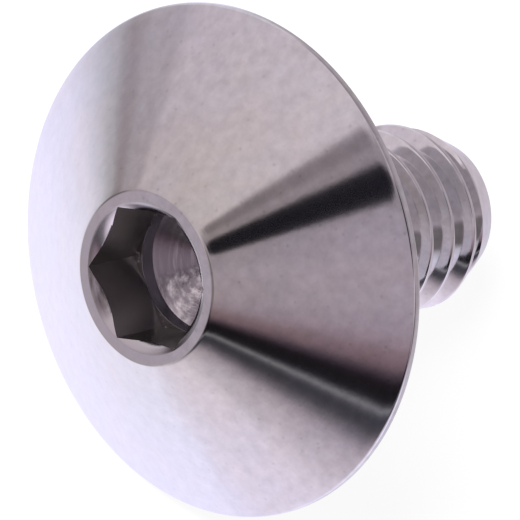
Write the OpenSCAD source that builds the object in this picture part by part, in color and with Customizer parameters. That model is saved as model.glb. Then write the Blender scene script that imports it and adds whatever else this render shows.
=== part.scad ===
// Bolt with a wide conical head, a hexagon socket and an M6 x 1 right-hand thread.
// It is one piece of metal and lies on its side, on the head's rim and the end of its thread.

/* [Head] */
// Diameter of the head
head_d = 16; // [13:0.5:20]
// Height of the head, from its flat underside to the ring round the socket
head_h = 3.6; // [3.4:0.1:4.5]
// Height of the straight band round the rim
rim_h = 0.25; // [0.2:0.05:0.6]
// Radius that breaks the rim's two edges
rim_round = 0.06; // [0.03:0.01:0.08]
// Outer diameter of the flat ring round the socket
ring_d = 5.46; // [5.2:0.02:6.4]

/* [Socket] */
// Hexagon across its flats, for a 4 mm key
socket_af = 4.1; // [4.02:0.02:4.16]
// Diameter of the countersink where it meets the ring
mouth_d = 4.84; // [4.82:0.02:5.1]
// Angle between the countersink's wall and the ring's plane
mouth_slope = 30; // [20:5:45]
// Depth of the hexagon below the ring
hex_depth = 2.1; // [1.8:0.1:2.4]
// Depth of the drilled hole's straight wall below the ring
drill_depth = 2.57; // [2.5:0.01:2.8]
// Angle of the drill's point
drill_point = 118; // [100:1:140]
// Turn of the hexagon about the bolt's axis
socket_turn = 0; // [0:1:59]

/* [Thread] */
// Length under the head
length = 10; // [8:1:30]
// Diameter over the thread's crests and of the plain neck
thread_d = 5.9; // [5.8:0.02:5.98]
// Pitch of the thread
pitch = 1; // [0.75:0.05:1.1]
// Length of the plain neck between the head and the thread
neck_l = 1.2; // [0.8:0.1:2]
// Radius in the corner between the neck and the head
neck_fillet = 0.25; // [0.1:0.05:0.4]
// Diameter of the flat at the end of the thread
end_d = 4.32; // [4:0.02:4.6]
// Length of the cone that points the end of the thread
point_l = 1.6; // [1:0.1:2]
// Turn of the thread about the bolt's axis
thread_turn = 0; // [0:5:355]

/* [Lying] */
// How far the bolt has rolled about its own axis; a corner of the hexagon is near the top at every sixth of a turn
rest_turn = 61; // [0:1:359]

/* [Hidden] */

head_r = head_d / 2;
ring_r = ring_d / 2;
mouth_r = mouth_d / 2;
socket_r = socket_af / 2;
thread_r = thread_d / 2;
end_r = end_d / 2;
$fn = 96;
// How far a cutting shape reaches past what it cuts
past = 0.5;

// A metric thread: flanks at 60 degrees, a flat crest an eighth of the pitch wide and a flat root of a quarter
flank_angle = 60;
crest_w = pitch / 8;
root_w = pitch / 4;
// Radius at which the ridge is so wide, at its two flanks
function ridge_r(w) = thread_r - (w - crest_w) / 2 / tan(flank_angle / 2);
root_r = ridge_r(pitch - root_w);
// The ridge's foot lies inside the core, a little narrower than the pitch, so that one turn clears the next.
foot_w = 0.96 * pitch;
foot_r = ridge_r(foot_w);

// The ridge is a row of rings along a helix, from inside the neck to beyond the bolt's end.
steps = 36;
ridge_top = -neck_l + pitch / 4;
ridge_bottom = -length - pitch;
rings = ceil((ridge_top - ridge_bottom) / pitch * steps);

// The bolt lies on the line that touches its rim and the end of its thread, and its axis slopes by as much.
lie = min(atan2(head_r - thread_r, length - point_l), atan2(head_r - end_r, length));
// Height over the surface of the middle of the head's underside
seat_z = head_r * cos(lie);
// The bolt's reach along X before and behind that point
reach_end = max(length * cos(lie) + end_r * sin(lie), (length - point_l) * cos(lie) + thread_r * sin(lie));
reach_head = max(head_h * cos(lie) + ring_r * sin(lie), rim_h * cos(lie) + head_r * sin(lie));

// Points of a round corner about a centre, from one angle to another
function arc(centre, r, from, to, n = 6) =
    [for (i = [0:n]) let (a = from + (to - from) * i / n) centre + r * [cos(a), sin(a)]];

// Cone on a straight band, with both edges of the rim rounded
module head() {
    slope = atan2(head_h - rim_h, head_r - ring_r);
    turn = 90 - slope;
    rotate_extrude()
        polygon(concat(
            [[0, 0]],
            arc([head_r - rim_round, rim_round], rim_round, -90, 0),
            arc([head_r - rim_round, rim_h - rim_round * tan(turn / 2)], rim_round, 0, turn),
            [[ring_r, head_h], [0, head_h]]
        ));
}

// Ring that fills the corner between the neck and the head
module neck_corner() {
    rotate_extrude()
        difference() {
            translate([thread_r - past, -neck_fillet]) square([past + neck_fillet, neck_fillet + rim_h / 2]);
            translate([thread_r + neck_fillet, -neck_fillet]) circle(neck_fillet);
        }
}

// Plain neck, the run-out below it and the core of the thread
module shank() {
    rotate_extrude()
        polygon([[0, rim_h / 2], [thread_r, rim_h / 2], [thread_r, -neck_l],
            [root_r, -neck_l - thread_r + root_r], [root_r, -length], [0, -length]]);
}

// Ridge of the thread: each ring turns by one step and climbs by one step's share of the pitch
module ridge() {
    section = [[foot_r, -foot_w / 2], [thread_r, -crest_w / 2], [thread_r, crest_w / 2], [foot_r, foot_w / 2]];
    n = len(section);
    points = [
        for (i = [0:rings], corner = section)
            let (turn = thread_turn + i * 360 / steps, z = ridge_bottom + i * pitch / steps)
            [corner[0] * cos(turn), corner[0] * sin(turn), z + corner[1]]
    ];
    sides = [
        for (i = [0:rings - 1], k = [0:n - 1])
            let (a = i * n + k, b = i * n + (k + 1) % n)
            each [[a, b + n, a + n], [a, b, b + n]]
    ];
    caps = [[for (k = [0:n - 1]) n - 1 - k], [for (k = [0:n - 1]) rings * n + k]];
    polyhedron(points, concat(sides, caps), convexity = 10);
}

// What the end's cone and flat take away from the ridge and the core
module end_cut() {
    slope = (thread_r - end_r) / point_l;
    outside = thread_r + pitch;
    rotate_extrude()
        polygon([[0, -length], [end_r, -length], [thread_r + past * slope, -length + point_l + past],
            [outside, -length + point_l + past], [outside, -length - 2 * pitch], [0, -length - 2 * pitch]]);
}

// Countersink, hexagon and drilled hole with its pointed bottom
module socket() {
    mouth_deep = (mouth_r - socket_r) * tan(mouth_slope);
    rotate(socket_turn)
        translate([0, 0, head_h - hex_depth])
            cylinder(r = socket_r / cos(30), h = hex_depth + past, $fn = 6);
    rotate_extrude()
        polygon([[0, head_h + past], [mouth_r, head_h + past], [mouth_r, head_h],
            [socket_r, head_h - mouth_deep], [socket_r, head_h - drill_depth],
            [0, head_h - drill_depth - socket_r / tan(drill_point / 2)]]);
}

// The bolt on its own axis, with the middle of the head's underside at the origin
module upright_bolt() {
    difference() {
        union() {
            head();
            neck_corner();
            shank();
            ridge();
        }
        end_cut();
        socket();
    }
}

// The bolt as it lies, with the middle of its extent over the origin
module bolt() {
    color("silver")
        translate([(reach_head - reach_end) / 2, 0, seat_z])
            rotate([0, lie - 90, 0])
                rotate([0, 0, rest_turn])
                    upright_bolt();
}

bolt();
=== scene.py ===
# %% [markdown]
# # A wide-headed bolt, lying on a white studio table
#
# The subject is one piece of bright steel: a broad cone of a head with a hexagon socket, a short plain
# neck and an M6 thread. It lies as it would come to rest, on the rim of its head and on the end of its
# thread.
#
# The plan of the script:
#
# 1. fetch the measured model, which says where everything is;
# 2. write down the bolt's own sizes and the line on which it lies;
# 3. compute its skin with numpy: socket, head, neck, thread and end as one closed surface;
# 4. give it a turned and satin-polished steel finish with a duller socket, and paint shade and highlights
#    into its colour;
# 5. paint a studio sky for it to mirror, add a table and a lamp, and set the camera.
#
# Lengths are written in millimetres while the shape is computed and become metres when the mesh is made.

# %% Fetch the measured model
from math import atan2, cos, pi, radians, sin, tan

import bmesh
import bpy
import numpy as np
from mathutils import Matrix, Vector


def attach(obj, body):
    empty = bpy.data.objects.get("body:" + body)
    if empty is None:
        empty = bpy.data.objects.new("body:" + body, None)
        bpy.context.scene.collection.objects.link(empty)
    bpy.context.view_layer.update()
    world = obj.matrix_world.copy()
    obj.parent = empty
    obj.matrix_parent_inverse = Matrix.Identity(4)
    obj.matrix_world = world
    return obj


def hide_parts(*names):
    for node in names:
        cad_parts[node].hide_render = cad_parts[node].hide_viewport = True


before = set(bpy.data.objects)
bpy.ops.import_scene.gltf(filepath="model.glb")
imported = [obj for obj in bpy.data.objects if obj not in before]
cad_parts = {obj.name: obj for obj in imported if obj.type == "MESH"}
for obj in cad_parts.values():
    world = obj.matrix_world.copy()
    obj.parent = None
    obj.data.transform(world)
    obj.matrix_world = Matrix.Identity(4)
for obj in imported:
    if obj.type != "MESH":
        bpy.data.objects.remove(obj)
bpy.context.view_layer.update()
MM = 0.001
print("measured model:", sorted(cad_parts))

# %% [markdown]
# ## Sizes of the head and the socket
#
# They are named after what a machinist would measure. The head is a cone on a thin straight rim, with a
# flat ring round its socket. An edge that polishing has rounded gets a radius of its own.

# %% Head and socket, in millimetres
HEAD_R, HEAD_H = 8.0, 3.6          # radius and height of the head
RIM_H, RIM_ROUND = 0.25, 0.06      # straight band of the rim and the radius that breaks its lower edge
RIM_TOP_ROUND = 0.12               # radius of its upper edge, which polishing has rounded more
RING_R, MOUTH_R = 2.73, 2.40       # outer and inner radius of the flat ring round the socket
EDGE_ROUND = 0.035                 # how far polishing has rounded the ring's outer edge
KEY_R = 2.05                       # half the hexagon's width across its flats
LIP_START, LIP_ROUND = radians(10), 0.478  # slope at which the lip leaves the ring, and its radius
HEX_DEPTH, DRILL_DEPTH = 2.1, 2.57  # how far the hexagon and the drilled wall reach down
DRILL_HALF_ANGLE = radians(59)     # half the angle of the drill's point
print("head:", 2 * HEAD_R, "mm wide; hexagon:", 2 * KEY_R, "mm across its flats")

# %% [markdown]
# ## Sizes of the neck and the thread
#
# A machine thread has flanks at 60 degrees to each other, a narrow flat crest, and a root that the rolling
# die leaves round. So nearly all of its sizes follow from the pitch and the diameter.

# %% Neck and thread, in millimetres
NECK_R, NECK_L = 2.95, 1.2         # radius and length of the plain neck; the thread's crests are as wide
NECK_FILLET = 0.25                 # radius in the corner under the head
LENGTH, POINT_L = 10.0, 1.6        # length under the head, and the part of it that is cut to a point
END_R = 2.16                       # radius of the flat end
PITCH = 1.0
CREST_HALF = PITCH / 16            # from the middle of a crest to where the flank begins
FLANK_END = 0.375 * PITCH          # from the middle of a crest to where the round root begins
FLANK_FALL = np.sqrt(3)            # fall of the flank for each millimetre along the axis
CREST_BLEND = 0.03                 # how softly the crest runs into the flank
ROOT_ROUND = 0.1443 * PITCH        # root radius: an eighth of the pitch over the cosine of 30 degrees
REST_TURN = 61.0                   # how far the bolt has rolled, in degrees
THREAD_TURN = 0.0                  # where round the bolt the thread begins, in degrees
print("thread:", 2 * NECK_R, "mm over its crests, pitch", PITCH, "mm")

# %% [markdown]
# ## How it lies
#
# A bolt with a wide head can't lie flat: it leans on the rim of the head and on the far end of its thread.
# The line through those two points is the table, and the bolt's axis slopes by the angle between the two.
# The three unit vectors below turn sizes measured along the bolt into places on the table. The mesh is
# computed in its final place, and the object is neither moved nor turned.

# %% The bolt's own axes on the table
lean = min(atan2(HEAD_R - NECK_R, LENGTH - POINT_L), atan2(HEAD_R - END_R, LENGTH))
reach_end = max(
    LENGTH * cos(lean) + END_R * sin(lean),
    (LENGTH - POINT_L) * cos(lean) + NECK_R * sin(lean),
)
reach_head = max(
    HEAD_H * cos(lean) + RING_R * sin(lean),
    RIM_H * cos(lean) + HEAD_R * sin(lean),
)
centre = np.array([(reach_head - reach_end) / 2, 0.0, HEAD_R * cos(lean)])
up_side = np.array([sin(lean), 0.0, cos(lean)])
left_side = np.array([0.0, 1.0, 0.0])
along_axis = np.array([-cos(lean), 0.0, sin(lean)])
print("the axis leans by", round(lean * 180 / pi, 2), "degrees")

# %% [markdown]
# ## The skin as rings
#
# A turned part is a stack of rings. Blender's Spin could turn a profile, but the hexagon and the thread
# would still have to be cut into the result. Here each ring is a row of 180 points, two degrees apart, and
# a row is given by two lists: how far each point is from the axis and how high it is along the axis. So a
# row can be a circle, a hexagon or a turn of a helix. A column of points falls on every corner and every
# middle of a side of the hexagon, so the socket keeps its sharp corners.

# %% Columns of points round the axis
COLUMNS = 180
share = np.arange(COLUMNS + 1) / COLUMNS
angle = radians(REST_TURN) + 2 * pi * share
print("columns:", COLUMNS, "and one more on the first, to close the ring")

# %% Rows of points


def ring_rows(radius, height):
    """Points of plain rings, as rows x columns x 2 (radius, height)."""
    rows = np.stack([np.asarray(radius, float), np.asarray(height, float)], axis=-1)
    return np.repeat(rows[:, None, :], COLUMNS + 1, axis=1)


def arc_rows(centre_r, centre_h, radius, start, end, count):
    """Rings along an arc of a circle: centre plus radius times (cosine, sine) of an angle in degrees."""
    turn = np.radians(np.linspace(start, end, count))
    return ring_rows(centre_r + radius * np.cos(turn), centre_h + radius * np.sin(turn))


def blend_rows(first, last, shares):
    """Rows between two rows: first plus a share of the way to last."""
    shares = np.asarray(shares, float)[:, None, None]
    return first[None] + (last - first)[None] * shares


# %% [markdown]
# ## The drilled hole
#
# On the real bolt a hole is drilled first, and the drill leaves a pointed bottom. The rows of the whole
# skin start there, at the very point, and climb the wall of the hole.

# %% Rows of the drilled hole, from its point outwards
top, hex_floor, drill_floor = HEAD_H, HEAD_H - HEX_DEPTH, HEAD_H - DRILL_DEPTH
drill_r = np.linspace(0, KEY_R, 9)
drill_rows = ring_rows(drill_r, drill_floor - (KEY_R - drill_r) / tan(DRILL_HALF_ANGLE))
hole_rows = ring_rows([KEY_R] * 3, np.linspace(drill_floor, hex_floor, 4)[1:])
print("the drill's point is", round(-float(drill_rows[0, 0, 1]), 2), "mm below the head's underside")

# %% [markdown]
# ## The lip at the socket's mouth
#
# A shallow countersink clears the mouth for the key, and use has rounded it. Where it meets the hexagon,
# the edge rises at every corner and dips at the middle of every side, which draws six lens shapes. Nobody
# has to model those: each column of the lip is an arc of its own that ends on the wall of the hexagon.

# %% Rows of the lip
from_flat = (np.degrees(angle) - REST_TURN) % 60 - 30
hexagon_r = KEY_R / np.cos(np.radians(from_flat))


def lip_rows(shares):
    """Rows of the rounded lip: an arc whose slope grows from the ring to the hexagon's wall.

    Radius is the mouth's less the arc's radius times the growth of the slope's sine. Height falls by the
    arc's radius times the loss of its cosine.
    """
    last_sine = sin(LIP_START) + (MOUTH_R - hexagon_r) / LIP_ROUND
    slopes = LIP_START + (np.arcsin(last_sine) - LIP_START) * np.asarray(shares, float)[:, None]
    r = MOUTH_R - LIP_ROUND * (np.sin(slopes) - sin(LIP_START))
    h = top - LIP_ROUND * (cos(LIP_START) - np.cos(slopes))
    return np.stack([r, h], axis=-1)


lip = lip_rows(np.linspace(1, 0, 9))
edge_heights = lip[0, :, 1]
print("lip: it ends", np.round([edge_heights.min(), edge_heights.max()], 2), "mm up, at sides and corners")

# %% [markdown]
# ## The punched walls
#
# A punch forces the hexagon into the drilled hole. Its flats just touch the hole, and its corners stop a
# little short of the bottom, which leaves six small ledges. The last row of the wall stands close under
# the lip, so that smooth shading doesn't smear over the edge between them.

# %% Rows of the walls, and the whole socket
wall_foot = np.stack([hexagon_r, np.full_like(angle, hex_floor)], axis=-1)
wall_rows = blend_rows(wall_foot, lip[0], [0, 0.125, 0.25, 0.375, 0.5, 0.625, 0.75, 0.875, 0.99])
socket_rows = np.concatenate([drill_rows, hole_rows, wall_rows, lip])
print("socket:", len(socket_rows), "rows")

# %% [markdown]
# ## The head
#
# The head is a straight cone on a thin rim. Nothing on real metal is quite sharp, so each edge gets a few
# extra rings round a small radius: that is what catches a thin line of light. A Bevel modifier would do
# the same, but it would bevel the hexagon and the thread as well.

# %% Rows of the ring, the cone and the rim
slope = atan2(HEAD_H - RIM_H, HEAD_R - RING_R)
slope_deg = np.degrees(slope)
rim_turn = 90 - slope_deg
edge_back = EDGE_ROUND * 2
edge_r = edge_back / tan(slope / 2)
flat_rows = ring_rows(np.linspace(MOUTH_R, RING_R - edge_back, 6)[1:-1], [top] * 4)
ring_edge = arc_rows(RING_R - edge_back, top - edge_r, edge_r, start=90, end=rim_turn, count=5)
cone_foot_h = RIM_H - RIM_TOP_ROUND * tan(radians(rim_turn) / 2)
rim_top = arc_rows(
    HEAD_R - RIM_TOP_ROUND, cone_foot_h, RIM_TOP_ROUND, start=rim_turn, end=0, count=7)
cone_rows = blend_rows(ring_edge[-1], rim_top[0], np.linspace(0, 1, 25)[1:-1])
rim_foot = arc_rows(HEAD_R - RIM_ROUND, RIM_ROUND, RIM_ROUND, start=0, end=-90, count=5)
print("the cone slopes by", round(slope_deg, 1), "degrees")

# %% Rows of the underside and the neck, and the whole head
under_r = np.linspace(HEAD_R - RIM_ROUND, NECK_R + NECK_FILLET, 10)[1:-1]
under_rows = ring_rows(under_r, [0] * len(under_r))
fillet_rows = arc_rows(
    NECK_R + NECK_FILLET, -NECK_FILLET, NECK_FILLET, start=90, end=180, count=7)
neck_rows = ring_rows([NECK_R] * 5, np.linspace(-NECK_FILLET, -NECK_L, 6)[1:])
head_rows = np.concatenate([
    flat_rows, ring_edge, cone_rows, rim_top, rim_foot, under_rows, fillet_rows, neck_rows,
])
print("head and neck:", len(head_rows), "rows")

# %% [markdown]
# ## The thread's profile
#
# A screw thread is one profile carried round the axis while it climbs by one pitch a turn. Seen from the
# side, the profile is a flat crest, a straight flank and a round root, the same on both sides of the
# crest. Its rows stand closer together where it bends: at the crest's two edges and in the root.

# %% Profile of the thread


def thread_profile(offset):
    """Radius of the thread at a distance along the axis from the middle of a crest.

    The flank falls by the square root of three times the distance. The crest and the flank blend: half
    their sum, less half the root of their difference squared plus the blend squared. The root is an arc:
    the height of its centre, less the root of its radius squared less the squared distance from its
    middle.
    """
    offset = np.abs(offset)
    flank = NECK_R - FLANK_FALL * (offset - CREST_HALF)
    crest = 0.5 * (NECK_R + flank - np.sqrt((NECK_R - flank) ** 2 + CREST_BLEND ** 2))
    root_centre = NECK_R - FLANK_FALL * (FLANK_END - CREST_HALF) + ROOT_ROUND / 2
    in_root = ROOT_ROUND ** 2 - (PITCH / 2 - offset) ** 2
    root = root_centre - np.sqrt(np.maximum(in_root, 0))
    return np.where(offset < FLANK_END, crest, root)


crest_part = [0, 0.035, 0.0525, 0.0625, 0.075]
flank_part = [0.1, 0.15, 0.2, 0.25, 0.3]
root_part = [0.345, 0.375, 0.405, 0.435, 0.467]
half = np.array(crest_part + flank_part + root_part)
offsets = np.concatenate([half, [0.5], 1 - half[:0:-1]]) * PITCH
per_pitch = len(offsets)
depth = NECK_R - float(thread_profile(PITCH / 2))
print("profile:", per_pitch, "rows to a pitch,", round(depth, 3), "mm deep")

# %% [markdown]
# ## The thread's rows
#
# These rows aren't level rings: each one climbs as it goes round and meets, at the end of its turn, the
# row one pitch higher. Where the thread meets the neck it runs out on a short cone of 45 degrees, and at
# its far end it is cut to a point so that it finds its way into a nut. Each of those two is one
# comparison of radii over the whole grid.

# %% Thread rows, each climbing as it goes round
first_crest = -LENGTH - PITCH - THREAD_TURN / 360 * PITCH
first_crest += PITCH * np.ceil((-NECK_L - first_crest) / PITCH)
turns = int(np.ceil((first_crest + PITCH + LENGTH) / PITCH))
row_number = np.arange(turns * per_pitch + 1)
row_offset = offsets[row_number % per_pitch]
fall = row_number // per_pitch * PITCH + row_offset
height = np.clip(first_crest - fall[:, None] + share[None] * PITCH, -LENGTH, -NECK_L)
to_crest = np.where(row_offset > PITCH / 2, PITCH - row_offset, row_offset)
radius = np.repeat(thread_profile(to_crest)[:, None], COLUMNS + 1, axis=1)
run_out = NECK_R + (height + NECK_L)
point = END_R + (height + LENGTH) * (NECK_R - END_R) / POINT_L
radius = np.minimum(np.maximum(radius, run_out), point)
thread_rows = np.stack([radius, height], axis=-1)
end_rows = ring_rows(np.linspace(END_R, 0, 5)[1:], [-LENGTH] * 4)
print("thread:", len(thread_rows), "rows; smallest radius", round(float(radius.min()), 3), "mm")

# %% [markdown]
# ## One closed surface
#
# All rows are joined in one grid. Points that fall on each other, at the two poles, along the seam and
# where rows of the thread run into the neck, are merged, so the metal is one closed solid. The sign of its
# volume says whether the faces look outwards.

# %% From rows to a mesh


def surface_mesh(name, rows):
    """Mesh of a grid of (radius, height) rows, placed on the bolt's axes.

    A point is the bolt's centre, plus the radius along the side that its column faces, plus the height
    along the axis. That side is the cosine of the column's angle times the upper side plus its sine times
    the left side.
    """
    rings, columns = rows.shape[:2]
    r, h = rows[..., 0:1], rows[..., 1:2]
    side = np.cos(angle)[None, :, None] * up_side + np.sin(angle)[None, :, None] * left_side
    points = (centre + r * side + h * along_axis).reshape(-1, 3) * MM
    corner = np.arange(rings * columns).reshape(rings, columns)
    four = [corner[:-1, :-1], corner[:-1, 1:], corner[1:, 1:], corner[1:, :-1]]
    faces = np.stack(four, axis=-1).reshape(-1, 4)
    a, b, c, d = (points[faces[:, i]] for i in range(4))
    volume = np.einsum("ij,ij->", a, np.cross(b, c) + np.cross(c, d)) / 6
    if volume < 0:
        faces = faces[:, ::-1]
    mesh = bpy.data.meshes.new(name)
    mesh.from_pydata(points, [], faces)
    print(name, "encloses", round(abs(volume) / MM ** 3, 1), "mm3")
    return mesh


def merge_doubles(mesh, distance):
    """Merges points closer than a distance, and drops faces that lose their area. Counts open edges."""
    work = bmesh.new()
    work.from_mesh(mesh)
    bmesh.ops.remove_doubles(work, verts=work.verts, dist=distance)
    open_edges = sum(not edge.is_manifold for edge in work.edges)
    work.to_mesh(mesh)
    work.free()
    return open_edges


# %% [markdown]
# ## Three zones
#
# The finish has to know the drilled, the punched and the lip's metal from the rest. An attribute does
# that: a number stored at every point of the mesh, which a material can read by its name. On the lip it
# falls from 1 at the wall to 0 at the ring, so it also says how far down the lip a point is.

# %% The bolt's mesh, with its zones


def mark_rows(mesh, name, first, last, rows, fade=1.0):
    """A value on the mesh: from 1 on row first to fade on the row before last, and 0 on all others."""
    values = np.zeros((rows, COLUMNS + 1), np.float32)
    values[first:last] = np.linspace(1, fade, last - first)[:, None]
    mesh.attributes.new(name, "FLOAT", "POINT").data.foreach_set("value", values.ravel())


all_rows = np.concatenate([socket_rows, head_rows, thread_rows, end_rows])
bolt_mesh = surface_mesh("bolt", all_rows)
drilled_end = len(drill_rows) + len(hole_rows)
walls_end = drilled_end + len(wall_rows)
lip_end = walls_end + len(lip)
mark_rows(bolt_mesh, "drilled", 0, drilled_end, len(all_rows))
mark_rows(bolt_mesh, "punched", drilled_end - 1, walls_end, len(all_rows))
mark_rows(bolt_mesh, "lip", walls_end, lip_end, len(all_rows), fade=0.0)
open_edges = merge_doubles(bolt_mesh, distance=0.0002 * MM)
print("faces:", len(bolt_mesh.polygons), "open edges:", open_edges)

# %% [markdown]
# ## The bolt as an object
#
# Smooth shading hides the small facets, and an edge that turns by more than 38 degrees stays sharp. The
# object then stands for the measured model's plain solid.

# %% The bolt as an object
bolt_mesh.shade_smooth()
bolt_mesh.set_sharp_from_angle(angle=radians(38))
bolt = bpy.data.objects.new("steel_bolt", bolt_mesh)
bpy.context.scene.collection.objects.link(bolt)
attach(bolt, "root")
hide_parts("bolt")
print("object:", bolt.name)

# %% [markdown]
# ## The finish
#
# The bolt is bright steel. Its head was turned on a lathe and then satin-polished: a faint mottle lies
# over fine rings, and the rings show where a bright reflection ends, as short streaks. The punched socket
# is rougher and painted darker, partly as shade, and the drill has left a rough point, painted grey and
# dark partly as shade. Painted highlights and glints lie on the lip and in the hole.
#
# An image could be wrapped round the head, but it would blur close up and show a seam. Shader nodes
# compute the marks at every point instead. Written out one by one they make long code, so a few short
# helpers come first.

# %% Helpers for single nodes


def add(tree, kind, inputs=None, **settings):
    """Adds a node, sets its properties, and sets or links its inputs by name or number."""
    made = tree.nodes.new(kind)
    for name, value in settings.items():
        setattr(made, name, value)
    for key, value in (inputs or {}).items():
        if isinstance(value, bpy.types.NodeSocket):
            tree.links.new(value, made.inputs[key])
        else:
            made.inputs[key].default_value = value
    return made


def maths(tree, operation, first, second=0.0, third=0.0):
    """Output of a Math node with its inputs set or linked."""
    return add(tree, "ShaderNodeMath", {0: first, 1: second, 2: third}, operation=operation).outputs[0]


def vectors(tree, operation, first, second=(0, 0, 0), output="Vector"):
    """Output of a Vector Math node with its inputs set or linked."""
    made = add(tree, "ShaderNodeVectorMath", {0: first, 1: second}, operation=operation)
    return made.outputs[output]


def step(tree, value, low, high):
    """0 at low and 1 at high, with a smooth change between. It falls where low is the larger one."""
    keys = {"Value": value, "From Min": low, "From Max": high}
    return add(tree, "ShaderNodeMapRange", keys, interpolation_type="SMOOTHSTEP").outputs[0]


# %% Helpers for node groups


def new_group(name, inputs, outputs):
    """A node group with named number sockets. Returns the tree, its input and its output node."""
    tree = bpy.data.node_groups.new(name, "ShaderNodeTree")
    for label, value in inputs.items():
        socket = tree.interface.new_socket(label, in_out="INPUT", socket_type="NodeSocketFloat")
        socket.default_value = value
    for label in outputs:
        tree.interface.new_socket(label, in_out="OUTPUT", socket_type="NodeSocketFloat")
    return tree, tree.nodes.new("NodeGroupInput"), tree.nodes.new("NodeGroupOutput")


def put_out(tree, out, values):
    """Links each value to the group's output of that name."""
    for name, value in values.items():
        tree.links.new(value, out.inputs[name])


# %% [markdown]
# ## Where on the bolt
#
# Marks from turning run round the bolt's axis, so the finish needs a point's height along the axis, its
# distance from it and its angle round it. The bolt lies askew, and its mesh keeps that place. So this
# group takes the step from the bolt's centre to the point and measures it along the bolt's three axes. A
# node group is built once, and every material that needs it can hold it as a single node.

# %% Group: place on the bolt


def place_on_bolt():
    """Height along the axis and distance from it in millimetres, and angle round it in radians."""
    tree, _, out = new_group("place on bolt", {}, ["Height", "Radius", "Angle"])
    position = add(tree, "ShaderNodeTexCoord").outputs["Object"]
    offset = vectors(tree, "SUBTRACT", position, tuple(centre * MM))
    parts = []
    for axis in (up_side, left_side, along_axis):
        along = vectors(tree, "DOT_PRODUCT", offset, tuple(axis), output="Value")
        parts.append(maths(tree, "MULTIPLY", along, 1 / MM))
    across = add(tree, "ShaderNodeCombineXYZ", {0: parts[0], 1: parts[1]}).outputs[0]
    far = vectors(tree, "LENGTH", across, output="Value")
    turn = maths(tree, "ARCTAN2", parts[1], parts[0])
    put_out(tree, out, {"Height": parts[2], "Radius": far, "Angle": turn})
    return tree


PLACE = place_on_bolt()
print("group:", PLACE.name, "with", len(PLACE.nodes), "nodes")

# %% [markdown]
# ## Marks on the metal
#
# Polished steel that has been handled shows four kinds of marks: rings from the lathe, a soft mottle from
# polishing, fine dark specks, and wide patches that are a little warmer or cooler in colour. Rings and
# mottle are relief, but less than a thousandth of a millimetre deep, which is a job for a bump and not for
# the mesh. The specks only darken: a dent in a mirror would look like a drop of water.

# %% Noise and specks


def ring_noise(tree, across, angle_round, grains, detail):
    """Noise in rings, without a seam: the angle goes in as its cosine and sine, times the grains."""
    sides = [
        maths(tree, "MULTIPLY", maths(tree, wave, angle_round), grains)
        for wave in ("COSINE", "SINE")
    ]
    where = add(tree, "ShaderNodeCombineXYZ", {0: across, 1: sides[0], 2: sides[1]}).outputs[0]
    keys = {"Vector": where, "Scale": 1.0, "Detail": detail, "Roughness": 0.55}
    return add(tree, "ShaderNodeTexNoise", keys, noise_dimensions="3D").outputs[0]


def even_noise(tree, position, size, detail, roughness):
    """Noise that is alike in all directions, with grains of a size in millimetres."""
    scale = maths(tree, "DIVIDE", 1 / MM, size)
    keys = {"Vector": position, "Scale": scale, "Detail": detail, "Roughness": roughness}
    return add(tree, "ShaderNodeTexNoise", keys, noise_dimensions="3D").outputs[0]


def dark_specks(tree, position, spacing):
    """Specks: 1 in the middle of a cell and 0 a quarter of a cell away, times a chance for each cell."""
    scale = maths(tree, "DIVIDE", 1 / MM, spacing)
    cells = add(tree, "ShaderNodeTexVoronoi", {"Vector": position, "Scale": scale})
    by_chance = add(tree, "ShaderNodeSeparateColor", {0: cells.outputs["Color"]}).outputs["Red"]
    chosen = step(tree, by_chance, low=0.1, high=0.9)
    in_middle = step(tree, cells.outputs["Distance"], low=0.26, high=0.04)
    return maths(tree, "MULTIPLY", in_middle, chosen)


# %% Group: metal marks
FALL_SHARE = -0.63                 # rings are counted outwards, and by this for each millimetre upwards
RING_TONE, MOTTLE_TONE, SPECK_TONE = 0.08, 0.92, -0.3  # what each mark adds to the tone


def metal_marks():
    """Rings, mottle, specks and patches, as relief in millimetres, as a tone and as a tint."""
    sizes = {
        "Ring Width": 0.06,
        "Ring Depth": 0.0004,
        "Mottle Size": 0.4,
        "Mottle Depth": 0.0006,
        "Speck Spacing": 0.33,
        "Patch Size": 1.5,
    }
    tree, given, out = new_group("metal marks", sizes, ["Relief", "Tone", "Tint"])
    place = add(tree, "ShaderNodeGroup", node_tree=PLACE)
    height, radius = place.outputs["Height"], place.outputs["Radius"]
    slant = maths(tree, "ADD", radius, maths(tree, "MULTIPLY", height, FALL_SHARE))
    across = maths(tree, "DIVIDE", slant, given.outputs["Ring Width"])
    rings = ring_noise(tree, across, place.outputs["Angle"], grains=5.0, detail=1.0)
    on_head = step(tree, height, low=0.0, high=0.1)
    ring_relief = maths(tree, "MULTIPLY", rings, on_head)
    ring_relief = maths(tree, "MULTIPLY", ring_relief, given.outputs["Ring Depth"])
    position = add(tree, "ShaderNodeTexCoord").outputs["Object"]
    mottle = even_noise(tree, position, given.outputs["Mottle Size"], detail=2.2, roughness=0.6)
    specks = dark_specks(tree, position, given.outputs["Speck Spacing"])
    relief = maths(tree, "MULTIPLY_ADD", mottle, given.outputs["Mottle Depth"], ring_relief)
    mottle_tone = maths(tree, "MULTIPLY", mottle, MOTTLE_TONE)
    tone = maths(tree, "MULTIPLY_ADD", rings, RING_TONE, mottle_tone)
    tone = maths(tree, "MULTIPLY_ADD", specks, SPECK_TONE, tone)
    tint = even_noise(tree, position, given.outputs["Patch Size"], detail=2.0, roughness=0.5)
    put_out(tree, out, {"Relief": relief, "Tone": tone, "Tint": tint})
    return tree


MARKS = metal_marks()
print("group:", MARKS.name, "with", len(MARKS.nodes), "nodes")

# %% [markdown]
# ## The steel
#
# The steel's colour is built up in layers, as a painter would: the zones of the bolt are laid over each
# other, each through a mask that is 1 inside the zone and 0 outside. Many masks depend on the angle round
# the bolt: a tool leaves one side of a hole rougher than the other, and painted highlights and painted
# shade fall on one side only.

# %% Helpers for layers


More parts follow.
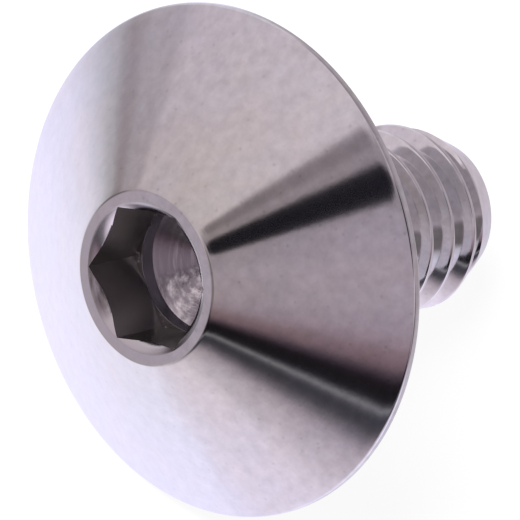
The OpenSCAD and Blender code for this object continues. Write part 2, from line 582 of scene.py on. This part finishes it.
def colour_mix(tree, share_of_second, first, second):
    """Output of a Mix node for colours. Its colours are inputs 6 and 7, and its result is output 2."""
    keys = {0: share_of_second, 6: first, 7: second}
    return add(tree, "ShaderNodeMix", keys, data_type="RGBA").outputs[2]


def number_mix(tree, share_of_second, first, second):
    """Value between two numbers."""
    keys = {"Value": share_of_second, "To Min": first, "To Max": second}
    return add(tree, "ShaderNodeMapRange", keys).outputs[0]


def facing_angle(tree, place, middle, outer, inner):
    """1 up to inner degrees from a middle angle round the bolt, falling to 0 at outer degrees."""
    away = maths(tree, "SUBTRACT", place.outputs["Angle"], radians(middle))
    return step(tree, maths(tree, "COSINE", away), cos(radians(outer)), cos(radians(inner)))


# %% The steel and its inputs
steel = bpy.data.materials.new("bright steel")
steel.use_nodes = True
tree = steel.node_tree
tree.nodes.clear()
place = add(tree, "ShaderNodeGroup", node_tree=PLACE)
marks = add(tree, "ShaderNodeGroup", node_tree=MARKS)
above, outward, around = (place.outputs[name] for name in ("Height", "Radius", "Angle"))
drilled, punched, lip_depth = (
    add(tree, "ShaderNodeAttribute", attribute_name=name).outputs["Fac"]
    for name in ("drilled", "punched", "lip")
)
print("material:", steel.name)

# %% [markdown]
# The first layers are the polished ones. The cone is a little duller near the socket than near the rim,
# and the rolled shank is the brightest. On one side of the head the marks are painted fainter: painted
# glare, where the bright reflection washes them out.

# %% Colour of the head and the shank
NEAR_SOCKET, NEAR_RIM = (0.672, 0.664, 0.634, 1), (0.735, 0.735, 0.755, 1)
SHANK = (0.81, 0.805, 0.825, 1)
WARM, COOL = (1.035, 0.996, 0.963, 1), (0.967, 0.998, 1.043, 1)
UNEVEN, WASHED_OUT = 0.48, 0.17         # how much the marks change the brightness, on the two sides

tone = colour_mix(tree, step(tree, outward, low=2.5, high=7.8), NEAR_SOCKET, NEAR_RIM)
tone = colour_mix(tree, step(tree, above, low=0.0, high=-0.2), tone, SHANK)
tone = vectors(tree, "MULTIPLY", tone, colour_mix(tree, marks.outputs["Tint"], WARM, COOL))
# painted glare: on this side the marks are painted fainter, where the bright reflection washes them out
washed_out_side = facing_angle(tree, place, middle=142, outer=125, inner=40)
unevenness = number_mix(tree, washed_out_side, UNEVEN, WASHED_OUT)
from_mean = maths(tree, "SUBTRACT", marks.outputs["Tone"], 0.5)
brightness = maths(tree, "MULTIPLY_ADD", from_mean, unevenness, 1.0)
tone = add(tree, "ShaderNodeVectorMath", {0: tone, "Scale": brightness}, operation="SCALE").outputs[0]
print("coloured: head and shank")

# %% [markdown]
# The lip was cut and never polished. On one side of it the tool has torn small crumbs out of the metal.
# Its upper side gets a painted highlight, and two stretches near the wall get painted shade.

# %% Colour of the lip
LIP, DULL_LIP = (0.64, 0.62, 0.63, 1), (0.40, 0.37, 0.375, 1)
LIP_HIGHLIGHT, LIP_SHADE = (0.92, 0.90, 0.94, 1), (0.15, 0.135, 0.14, 1)
CRUMB_WIDTH = 0.22                 # millimetres

crumb_across = maths(tree, "DIVIDE", outward, CRUMB_WIDTH)
crumbs = ring_noise(tree, crumb_across, around, grains=3.5, detail=3.0)
torn_side = facing_angle(tree, place, middle=141, outer=27, inner=10)
torn = maths(tree, "MULTIPLY", torn_side, step(tree, crumbs, low=0.25, high=0.55))
lip_tone = colour_mix(tree, torn, LIP, DULL_LIP)
# painted highlight on the upper side of the lip
lip_highlight_side = facing_angle(tree, place, middle=80, outer=32, inner=18)
lip_tone = colour_mix(tree, lip_highlight_side, lip_tone, LIP_HIGHLIGHT)
# painted shade on two stretches of the lip near the wall
far_lip_shade = facing_angle(tree, place, middle=10, outer=50, inner=30)
far_lip_shade = maths(tree, "MULTIPLY", far_lip_shade, step(tree, lip_depth, low=0.15, high=0.45))
low_lip_shade = facing_angle(tree, place, middle=262, outer=38, inner=18)
low_lip_shade = maths(tree, "MULTIPLY", low_lip_shade, step(tree, lip_depth, low=-0.3, high=0.4))
lip_tone = colour_mix(tree, maths(tree, "MAXIMUM", far_lip_shade, low_lip_shade), lip_tone, LIP_SHADE)
tone = colour_mix(tree, step(tree, lip_depth, low=0.0, high=0.08), tone, lip_tone)
print("coloured: lip")

# %% [markdown]
# The punch leaves its walls dull, and painted shade makes them dark. The drill leaves streaks round its
# point, whose dark grey is partly painted shade, and on one side, where it bit last, torn metal with
# painted glints. The short straight wall above the point gets a painted highlight.

# %% Colour of the walls and the drilled hole
# painted shade: the walls' dark colour is partly dull punched metal, partly shade deep in the socket
PUNCHED_AND_SHADED = (0.395, 0.395, 0.37, 1)
# painted shade on the drill's point, and a painted highlight on the hole's short straight wall
DRILLED_AND_SHADED, HOLE_HIGHLIGHT = (0.37, 0.34, 0.37, 1), (0.79, 0.80, 0.86, 1)
# bright colour for the drill's streaks and for painted glints
FRESH_AND_GLINT = (0.95, 0.93, 0.94, 1)
STREAK_WIDTH, STREAK_SHARE = 0.12, 0.35    # millimetres, and how much of the bright metal a streak shows

tone = colour_mix(tree, punched, tone, PUNCHED_AND_SHADED)
streak_across = maths(tree, "DIVIDE", outward, STREAK_WIDTH)
streaks = ring_noise(tree, streak_across, around, grains=1.0, detail=2.0)
streaky = maths(tree, "MULTIPLY", step(tree, streaks, low=0.45, high=0.8), STREAK_SHARE)
# painted glints where the drill bit last; the same side also gets a real rough relief further down
torn_and_glint_side = facing_angle(tree, place, middle=168, outer=34, inner=16)
drill_glints = maths(tree, "MULTIPLY", step(tree, crumbs, low=0.4, high=0.72), torn_and_glint_side)
drill_tone = colour_mix(tree, maths(tree, "MAXIMUM", drill_glints, streaky), DRILLED_AND_SHADED, FRESH_AND_GLINT)
on_hole_wall = step(tree, above, low=drill_floor, high=drill_floor + 0.03)
drill_tone = colour_mix(tree, on_hole_wall, drill_tone, HOLE_HIGHLIGHT)
tone = colour_mix(tree, drilled, tone, drill_tone)
print("coloured: walls and hole")

# %% [markdown]
# The six ledges are where the punch stopped: torn metal, painted dark partly as shade, with painted
# glints on burrs that stand up here and there.
# Their mask is where the punched zone is at its lowest and lies further out than the drilled hole.

# %% Colour of the ledges
# painted shade: the ledges' dark colour stands partly for shade at the socket's bottom
TORN_AND_SHADED = (0.30, 0.28, 0.295, 1)
BURR_WIDTH, BURR_GLINT_SHARE = 0.16, 0.8         # millimetres, and how much of the bright metal a burr shows

lowest = step(tree, above, low=hex_floor + 0.06, high=hex_floor + 0.01)
further_out = step(tree, outward, low=KEY_R + 0.01, high=KEY_R + 0.04)
ledge = maths(tree, "MULTIPLY", lowest, further_out)
burr_across = maths(tree, "DIVIDE", outward, BURR_WIDTH)
burr_noise = ring_noise(tree, burr_across, around, grains=13.0, detail=1.0)
# painted glints on the burrs
burr_glints = maths(tree, "MULTIPLY", step(tree, burr_noise, low=0.6, high=0.7), BURR_GLINT_SHARE)
ledge_tone = colour_mix(tree, burr_glints, TORN_AND_SHADED, FRESH_AND_GLINT)
tone = colour_mix(tree, maths(tree, "MULTIPLY", ledge, punched), tone, ledge_tone)
print("coloured: ledges")

# %% [markdown]
# ## Gloss and relief
#
# The polished skin is nearly a mirror, and the cut and punched metal is satin. The relief of the marks
# goes over the whole bolt, and the torn places get a coarser one. A Bump node turns the sum of both into
# bent normals.

# %% Gloss, relief and the shader
POLISHED, CUT = 0.085, 0.24                # roughness of the skin and of the lip
PUNCHED_GLOSS, DRILLED_GLOSS = 0.3, 0.26   # roughness of the walls and of the hole
HOLE_RELIEF, TORN_RELIEF = 0.008, 0.03     # height of the crumbs, in millimetres
LIP_RELIEF_SHARE = 0.25                    # how much of it the lip has

gloss = number_mix(tree, step(tree, lip_depth, low=0.0, high=0.1), POLISHED, CUT)
gloss = number_mix(tree, punched, gloss, PUNCHED_GLOSS)
gloss = number_mix(tree, drilled, gloss, DRILLED_GLOSS)
rough_zone = maths(tree, "MAXIMUM", drilled, maths(tree, "MULTIPLY", lip_depth, LIP_RELIEF_SHARE))
rough_depth = number_mix(tree, torn_and_glint_side, HOLE_RELIEF, TORN_RELIEF)
rough_relief = maths(tree, "MULTIPLY", maths(tree, "MULTIPLY", crumbs, rough_zone), rough_depth)
relief = maths(tree, "ADD", marks.outputs["Relief"], rough_relief)
bump = add(tree, "ShaderNodeBump", {"Height": relief, "Strength": 1.0, "Distance": MM})
shader = add(tree, "ShaderNodeBsdfPrincipled", {
    "Base Color": tone,
    "Metallic": 1.0,
    "Roughness": gloss,
    "Normal": bump.outputs[0],
})
add(tree, "ShaderNodeOutputMaterial", {"Surface": shader.outputs[0]})
bolt_mesh.materials.append(steel)
print(steel.name, "has", len(tree.nodes), "nodes")

# %% [markdown]
# ## The studio
#
# Polished metal has hardly a colour of its own: it shows what stands round it. So most of its look is a
# matter of what it reflects. Here that is a white table that gets dimmer towards its far edge, a dark room
# behind it at the height of the horizon, and soft pale walls and ceiling above.
#
# Real walls and lamps could stand there, but a sky is easier to change and free of noise. It is written as
# three columns of colours, each from straight down to straight up: one for the near side of the room,
# behind the camera, one for the camera's right and one for all other sides. Its lower half stands for the
# table, so the real table is hidden from reflections.

# %% The near side: degrees above the horizon, then the colour on a screen
NEAR_SIDE = [
    # the table, dimmer towards its far edge
    (-90, 226, 221, 241), (-52, 222, 215, 233), (-34, 213, 203, 217), (-31, 209, 199, 211),
    (-24, 186, 176, 186), (-18, 171, 160, 169), (-15, 152, 141, 150), (-12, 108, 101, 109),
    (-9, 66, 63, 69),
    # the dark room behind it, with one pale thing standing in it
    (-6, 52, 50, 57), (-4, 70, 68, 74), (-2.7, 130, 127, 132), (-1.2, 50, 48, 54), (0, 24, 22, 26),
    (5, 22, 19, 23), (7.4, 62, 52, 60),
    # the wall and the ceiling
    (10, 109, 90, 97), (13.5, 123, 104, 111), (16.7, 141, 125, 135), (20, 147, 134, 144),
    (26, 154, 142, 151), (36, 157, 145, 155), (47, 147, 137, 146), (55, 136, 126, 131),
    (90, 170, 160, 165),
]
print("near side:", len(NEAR_SIDE), "colours")

# %% The right side and the others
OTHER_SIDES = [
    # the table
    (-90, 232, 228, 248), (-41, 230, 226, 247), (-26, 219, 214, 232), (-16.5, 194, 190, 202),
    (-11.5, 174, 170, 178), (-8.5, 166, 161, 169),
    # its far edge against the wall
    (-6, 147, 139, 145), (-3, 136, 125, 132), (0, 141, 131, 137), (2.5, 154, 145, 153),
    (8, 157, 147, 155),
    # the wall and the ceiling
    (12.5, 160, 150, 158), (16.5, 182, 171, 179), (51, 188, 177, 182), (90, 196, 187, 192),
]
RIGHT_SIDE = [
    # the table, in the shade
    (-90, 210, 205, 216), (-70, 201, 196, 207), (-60, 188, 182, 194), (-50, 182, 175, 186),
    (-25, 174, 165, 171),
    # a dull wall
    (-18, 157, 148, 153), (-12, 148, 139, 144), (5, 158, 149, 154), (22, 140, 131, 136),
    (50, 136, 128, 133), (75, 142, 133, 138), (90, 158, 149, 155),
]
print("other sides:", len(OTHER_SIDES), "colours; right side:", len(RIGHT_SIDE))

# %% [markdown]
# The columns say how bright each part of the room should look in the metal. Steel gives back only a share
# of the light that falls on it, so each colour is divided by that share before it goes into the sky.

# %% From a column of colours to light
REFLECTED_SHARE = 0.72


def linear(value):
    """Light for a screen value from 0 to 255: the standard curve of screens, undone."""
    value = np.asarray(value, float) / 255
    return np.where(value <= 0.04045, value / 12.92, ((value + 0.055) / 1.055) ** 2.4)


def elevation_ramp(tree, fraction, stops):
    """Colour by height over the horizon: a ramp with one stop for each (degrees, red, green, blue)."""
    made = add(tree, "ShaderNodeValToRGB", {"Fac": fraction})
    ramp = made.color_ramp
    for number, (degrees, *colour) in enumerate(stops):
        stop = ramp.elements[number] if number < 2 else ramp.elements.new(1.0)
        stop.position = (degrees + 90) / 180
        stop.color = (*(linear(colour) / REFLECTED_SHARE), 1)
    return made.outputs[0]


# %% Directions


def direction(azimuth, elevation):
    """Unit vector for an azimuth from +X towards +Y and an elevation, in degrees."""
    turn, lift = radians(azimuth), radians(elevation)
    return (cos(lift) * cos(turn), cos(lift) * sin(turn), sin(lift))


def near_direction(tree, ray, where, inner, outer):
    """1 up to inner degrees from a direction (azimuth, elevation), falling to 0 at outer degrees."""
    towards = vectors(tree, "DOT_PRODUCT", ray, direction(*where), output="Value")
    return step(tree, towards, cos(radians(outer)), cos(radians(inner)))


# %% The three columns in the sky
world = bpy.data.worlds.new("studio")
bpy.context.scene.world = world
world.use_nodes = True
tree = world.node_tree
tree.nodes.clear()
ray = add(tree, "ShaderNodeTexCoord").outputs["Generated"]
level = vectors(tree, "NORMALIZE", vectors(tree, "MULTIPLY", ray, (1, 1, 0)))
lift = maths(tree, "ARCSINE", add(tree, "ShaderNodeSeparateXYZ", {0: ray}).outputs["Z"])
fraction = maths(tree, "MULTIPLY_ADD", lift, 1 / pi, 0.5)
near, right, others = (
    elevation_ramp(tree, fraction, stops) for stops in (NEAR_SIDE, RIGHT_SIDE, OTHER_SIDES)
)
nearness = near_direction(tree, level, where=(-147, 0), inner=32, outer=50)
rightness = near_direction(tree, level, where=(-12, 0), inner=44, outer=74)
sky = colour_mix(tree, nearness, others, near)
sky = colour_mix(tree, rightness, sky, right)
print("sky: three columns")

# %% [markdown]
# Some things in the room are too small for a column. Each is a round patch of one colour with a soft
# edge, and later ones lie over earlier ones. The flat ring round the socket mirrors one single spot of the
# room, and the rim's rounded edge squeezes a wide part of it into a hairline. The last two patches are
# there for those two.

# %% Single things: direction, degrees within which it is full and beyond which it is gone, light
PATCHES = {
    "bright part of the wall": ((70, 8), 16.0, 42.0, (0.76, 0.72, 0.77, 1)),
    "black card overhead": ((-169.6, 51.9), 4.0, 6.0, (0.008, 0.008, 0.012, 1)),
    "its stand": ((172, 56.8), 1.0, 4.0, (0.24, 0.2, 0.22, 1)),
    "dark doorway": ((-76, 2), 11.0, 19.0, (0.19, 0.165, 0.17, 1)),
    "case behind the table": ((129, -1.5), 4.0, 11.0, (0.2, 0.18, 0.19, 1)),
    "shade on the table": ((147, -24), 13.0, 23.0, (0.50, 0.45, 0.49, 1)),
    "grey screen": ((-176, 24), 8.0, 18.0, (0.24, 0.21, 0.22, 1)),
    "pale card, mirrored by the ring": ((153, -4), 7.0, 13.0, (0.52, 0.455, 0.55, 1)),
    "black cloth, mirrored by the rim's edge": ((-92, 50), 13.0, 22.0, (0.05, 0.045, 0.05, 1)),
}
for where, inner, outer, colour in PATCHES.values():
    sky = colour_mix(tree, near_direction(tree, ray, where, inner, outer), sky, colour)
print("single things:", "; ".join(PATCHES))

# %% [markdown]
# The camera itself sees plain white behind the bolt. A Light Path node tells its rays from all others.

# %% White for the camera, the sky for everything else
path = add(tree, "ShaderNodeLightPath")
seen = add(tree, "ShaderNodeBackground", {"Color": (1, 1, 1, 1), "Strength": 1.0})
lit = add(tree, "ShaderNodeBackground", {"Color": sky, "Strength": 1.0})
inputs = {0: path.outputs["Is Camera Ray"], 1: lit.outputs[0], 2: seen.outputs[0]}
mixed = add(tree, "ShaderNodeMixShader", inputs)
add(tree, "ShaderNodeOutputWorld", {"Surface": mixed.outputs[0]})
print("world:", world.name, "with", len(tree.nodes), "nodes")

# %% [markdown]
# ## The table
#
# The table is plain white. Rays from the camera see most of it as even white, so it needs no extra light,
# and the rest of it is real: that part keeps the bolt's soft shadow.

# %% Table
HALF_SIDE = 1.5                    # metres

table_mesh = bpy.data.meshes.new("table")
signs = ((-1, -1), (1, -1), (1, 1), (-1, 1))
table_mesh.from_pydata([(x * HALF_SIDE, y * HALF_SIDE, 0) for x, y in signs], [], [(0, 1, 2, 3)])
table = bpy.data.objects.new("table", table_mesh)
bpy.context.scene.collection.objects.link(table)
table.visible_glossy = False
print("table:", 2 * HALF_SIDE, "m wide")

# %% Its white
TABLE_WHITE = (0.86, 0.86, 0.87, 1)
EVEN_SHARE = 0.93                  # how much of the table the camera sees as even white

white = bpy.data.materials.new("white table")
white.use_nodes = True
tree = white.node_tree
tree.nodes.clear()
path = add(tree, "ShaderNodeLightPath")
plain = add(tree, "ShaderNodeBsdfDiffuse", {"Color": TABLE_WHITE})
glow = add(tree, "ShaderNodeEmission", {"Color": (1, 1, 1, 1), "Strength": 1.0})
even = maths(tree, "MULTIPLY", path.outputs["Is Camera Ray"], EVEN_SHARE)
mixed = add(tree, "ShaderNodeMixShader", {0: even, 1: plain.outputs[0], 2: glow.outputs[0]})
add(tree, "ShaderNodeOutputMaterial", {"Surface": mixed.outputs[0]})
table_mesh.materials.append(white)
print("material:", white.name)

# %% [markdown]
# ## The lamp
#
# A large round lamp hangs overhead and gives the table its soft shadow. It is hidden from reflections,
# because the sky already holds all that the metal should mirror.

# %% Lamp
lamp_data = bpy.data.lights.new("overhead lamp", "AREA")
lamp_data.shape = "DISK"
lamp_data.size = 0.5
lamp_data.energy = 10.0
lamp = bpy.data.objects.new("overhead_lamp", lamp_data)
lamp.location = (-0.1, 0.15, 0.6)
lamp.rotation_euler = (-lamp.location).to_track_quat("-Z", "Y").to_euler()
lamp.visible_glossy = False
bpy.context.scene.collection.objects.link(lamp)
print("lamp:", lamp_data.energy, "W,", round(lamp.location.length, 2), "m away")

# %% [markdown]
# ## Camera
#
# A long lens from half a metre away, looking down on the head from one side, so that the socket, the cone
# and the end of the thread all show. The standard view keeps colours as they are written.

# %% Camera
LOOK = (50.497413, -54.883479)     # azimuth and elevation in which the camera looks, in degrees
TARGET = (-1.78762, -0.70283, 6.89902)  # point in the middle of its view, in millimetres
DISTANCE = 0.5                     # metres

look = Vector(direction(*LOOK))
camera_data = bpy.data.cameras.new("camera")
camera_data.lens = 1127.6
camera_data.sensor_width = 36
camera_data.clip_start = 0.01
camera_data.clip_end = 10
camera = bpy.data.objects.new("camera", camera_data)
bpy.context.scene.collection.objects.link(camera)
camera.location = Vector(TARGET) * MM - look * DISTANCE
camera.rotation_euler = look.to_track_quat("-Z", "Y").to_euler()
bpy.context.scene.camera = camera
bpy.context.scene.view_settings.view_transform = "Standard"
print("camera at", [round(value, 3) for value in camera.location], "m")
